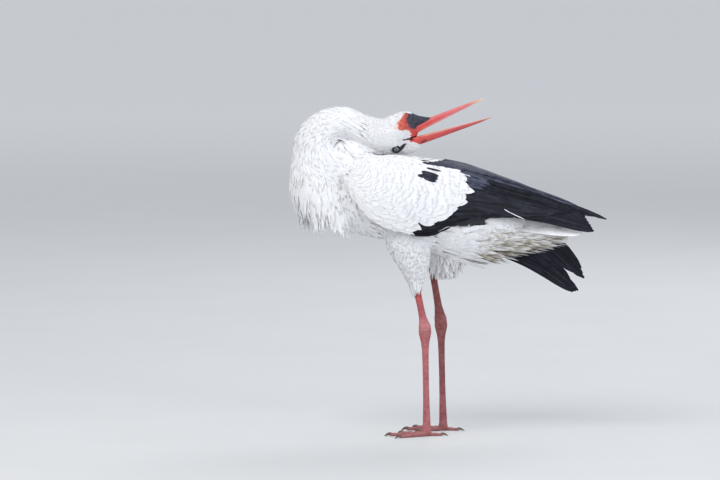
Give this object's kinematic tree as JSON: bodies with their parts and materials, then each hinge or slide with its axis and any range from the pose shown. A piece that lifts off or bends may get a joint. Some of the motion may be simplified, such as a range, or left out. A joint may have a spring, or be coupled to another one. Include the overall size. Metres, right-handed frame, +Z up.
{
  "type": "white stork",
  "caption": "Life-size white stork clattering its bill: it stands upright with its neck thrown back, the crown on its back and the open bill pointing to the rear and up.",
  "frame": {"origin": "centre of the bounding box on the floor between the feet", "axes": "+Z up, -X the way the breast faces, +Y the bird's right"},
  "size_m": [0.6456, 0.2174, 0.6836],
  "materials": {
    "white_feathers": "soft matt white contour feathers, slightly warm where they are soiled",
    "black_feathers": "black flight feathers with a faint bluish gloss",
    "bill_horn": "satin red horn, paler towards the tips",
    "leg_skin": "scaly pink-red skin",
    "claw_horn": "dull dark horn",
    "eye": "wet gloss, dark pupil and grey iris"
  },
  "bodies": {
    "root": {"head": "white_feathers", "left_eye": "eye", "left_foot": "leg_skin", "left_hind_claw": "claw_horn", "left_inner_claw": "claw_horn", "left_middle_claw": "claw_horn", "left_outer_claw": "claw_horn", "left_primaries": "black_feathers", "left_scapulars": "black_feathers", "left_secondaries": "black_feathers", "left_shin": "leg_skin", "left_tarsus": "leg_skin", "left_thigh": "white_feathers", "left_wing_coverts": "white_feathers", "lower_bill": "bill_horn", "neck_bend": "white_feathers", "neck_lower": "white_feathers", "neck_upper": "white_feathers", "right_eye": "eye", "right_foot": "leg_skin", "right_hind_claw": "claw_horn", "right_inner_claw": "claw_horn", "right_middle_claw": "claw_horn", "right_outer_claw": "claw_horn", "right_primaries": "black_feathers", "right_scapulars": "black_feathers", "right_secondaries": "black_feathers", "right_shin": "leg_skin", "right_tarsus": "leg_skin", "right_thigh": "white_feathers", "right_wing_coverts": "white_feathers", "tail": "white_feathers", "trunk": "white_feathers", "undertail_coverts": "white_feathers", "upper_bill": "bill_horn"}
  },
  "joints": []
}
